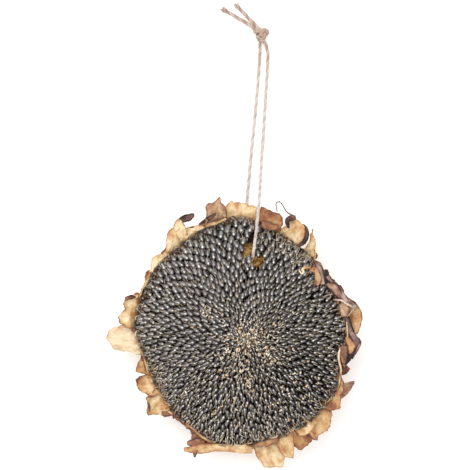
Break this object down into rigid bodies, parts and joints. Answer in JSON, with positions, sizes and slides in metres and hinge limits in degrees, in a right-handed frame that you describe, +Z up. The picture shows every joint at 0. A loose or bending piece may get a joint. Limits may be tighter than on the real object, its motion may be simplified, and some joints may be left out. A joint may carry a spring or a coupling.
{
  "type": "sunflower seed head",
  "caption": "Dried sunflower head lying on its back, packed with dark seeds in spirals and ringed by curled papery bracts, with a knotted loop of twine through it.",
  "frame": {"origin": "middle of the stem's cut face on the back of the head, on which it rests", "axes": "+Z up through the seed face, +Y towards the edge that the twine leads over, +X to the right seen from above"},
  "size_m": [0.2016, 0.3684, 0.038],
  "materials": {
    "dry_bract": "dry papery, matt",
    "seed_hull": "satin hull",
    "jute_twine": "hairy twisted fibre"
  },
  "bodies": {
    "root": {"receptacle": "dry_bract", "seeds": "seed_hull", "twine_front": "jute_twine", "twine_back": "jute_twine", "twine_knot": "jute_twine", "twine_tail_long": "jute_twine", "twine_tail_short": "jute_twine"}
  },
  "joints": []
}
